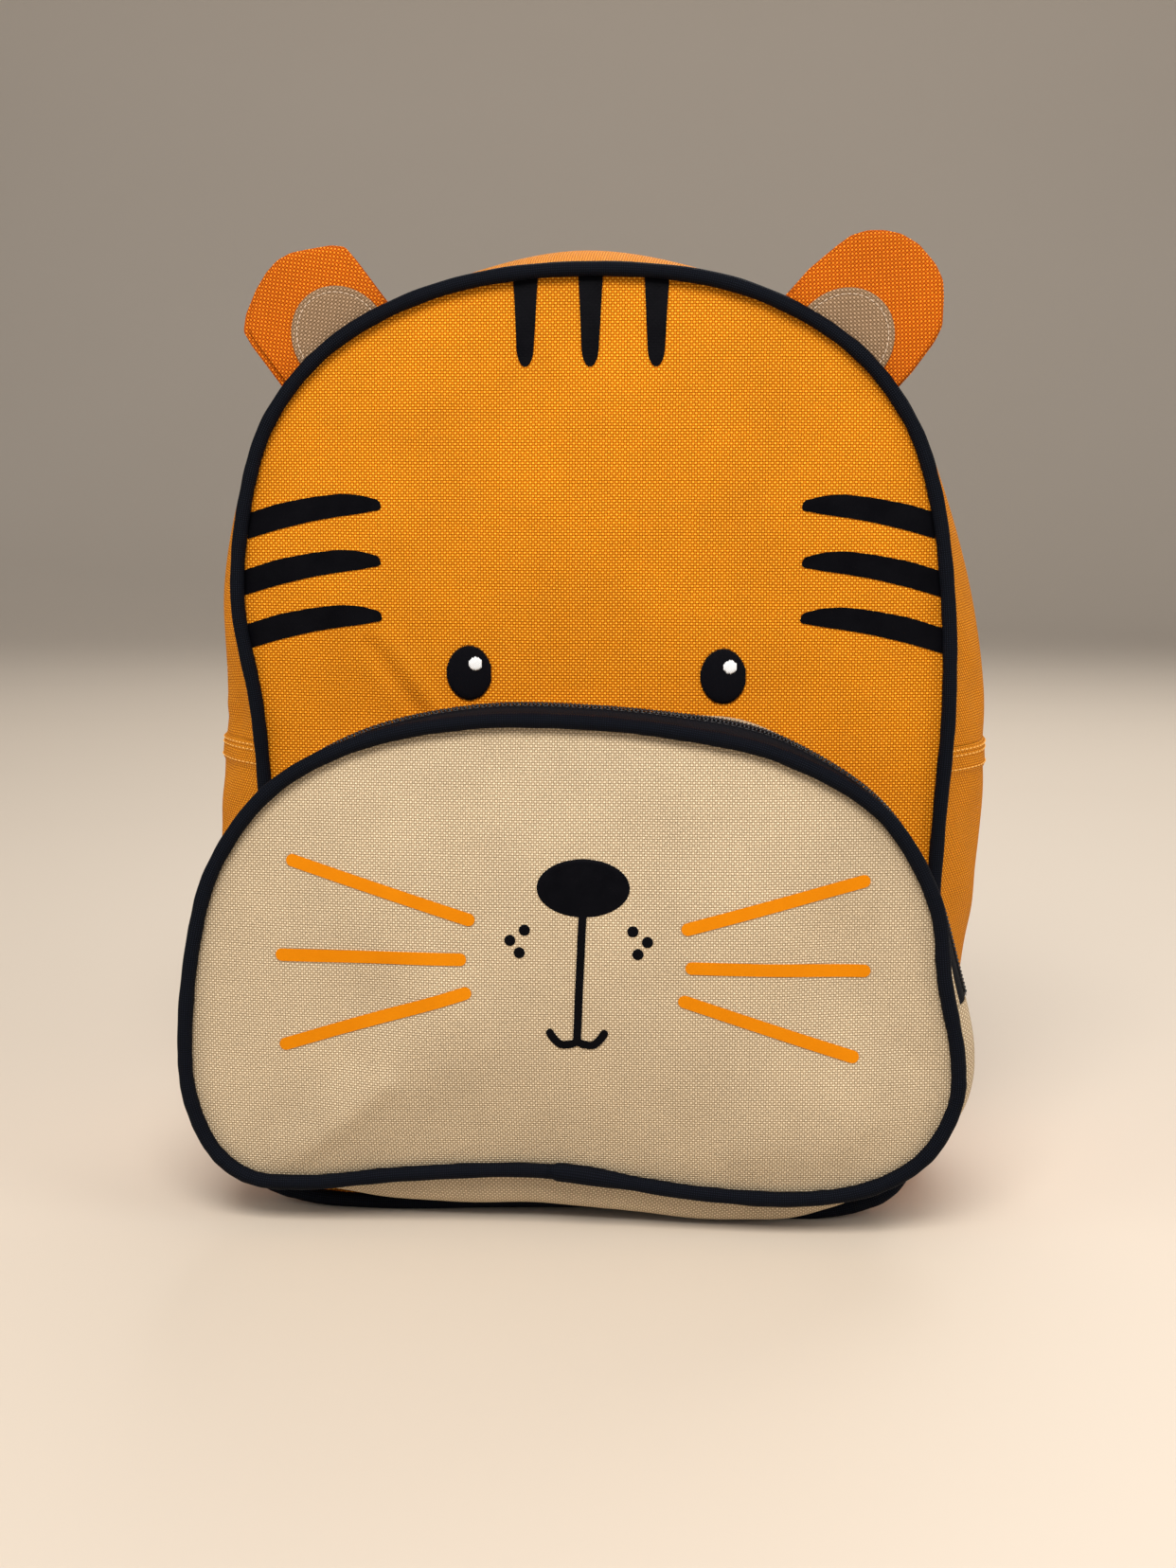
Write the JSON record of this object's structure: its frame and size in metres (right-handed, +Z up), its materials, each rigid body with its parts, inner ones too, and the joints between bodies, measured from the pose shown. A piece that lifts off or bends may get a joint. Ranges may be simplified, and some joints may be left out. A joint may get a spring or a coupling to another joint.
{
  "type": "kids animal backpack",
  "caption": "Child's backpack with a tiger face: arched zipped body, round ears, a zipped muzzle pocket on the front, contrast piping and padded shoulder straps.",
  "frame": {"origin": "on the flat underside of the lower gusset, below the middle of the body and half way between its seams", "axes": "+Z is up, the face looks along -Y, and +X is at the right of someone who looks at the face"},
  "size_m": [0.2735, 0.2031, 0.3198],
  "materials": {
    "orange_cloth": "woven polyester, matt",
    "beige_cloth": "woven polyester, matt",
    "piping_cloth": "fine woven cover over a cord, slight sheen",
    "zip_tape": "woven tape with a nylon coil",
    "webbing": "ribbed webbing",
    "black_print": "heat-pressed film, satin",
    "orange_print": "printed ink, matt",
    "black_thread": "satin-stitch embroidery",
    "white_thread": "satin-stitch embroidery",
    "buckle_plastic": "moulded, satin",
    "slider_metal": "black enamel"
  },
  "bodies": {
    "root": {"back_panel": "orange_cloth", "body_piping": "piping_cloth", "ear_left": "orange_cloth", "ear_patch_left": "beige_cloth", "ear_patch_right": "beige_cloth", "ear_right": "orange_cloth", "eye_glint_left": "white_thread", "eye_glint_right": "white_thread", "eye_left": "black_thread", "eye_right": "black_thread", "freckle_left_bottom": "black_print", "freckle_left_outer": "black_print", "freckle_left_top": "black_print", "freckle_right_bottom": "black_print", "freckle_right_outer": "black_print", "freckle_right_top": "black_print", "front_panel": "orange_cloth", "hanging_loop": "webbing", "lower_gusset": "orange_cloth", "main_zip": "zip_tape", "main_zip_slider": "slider_metal", "nose_and_mouth": "black_print", "pocket_front": "beige_cloth", "pocket_gusset_back_strip": "beige_cloth", "pocket_gusset_front_edge": "beige_cloth", "pocket_gusset_under": "beige_cloth", "pocket_piping": "piping_cloth", "pocket_zip": "zip_tape", "pocket_zip_slider": "slider_metal", "strap_buckle_left": "buckle_plastic", "strap_buckle_right": "buckle_plastic", "strap_pad_left": "orange_cloth", "strap_pad_right": "orange_cloth", "strap_webbing_left": "webbing", "strap_webbing_right": "webbing", "stripe_left_lower": "black_print", "stripe_left_middle": "black_print", "stripe_left_upper": "black_print", "stripe_right_lower": "black_print", "stripe_right_middle": "black_print", "stripe_right_upper": "black_print", "stripe_top_left": "black_print", "stripe_top_middle": "black_print", "stripe_top_right": "black_print", "upper_gusset_back": "orange_cloth", "upper_gusset_front": "orange_cloth", "whisker_left_lower": "orange_print", "whisker_left_middle": "orange_print", "whisker_left_upper": "orange_print", "whisker_right_lower": "orange_print", "whisker_right_middle": "orange_print", "whisker_right_upper": "orange_print"}
  },
  "joints": []
}
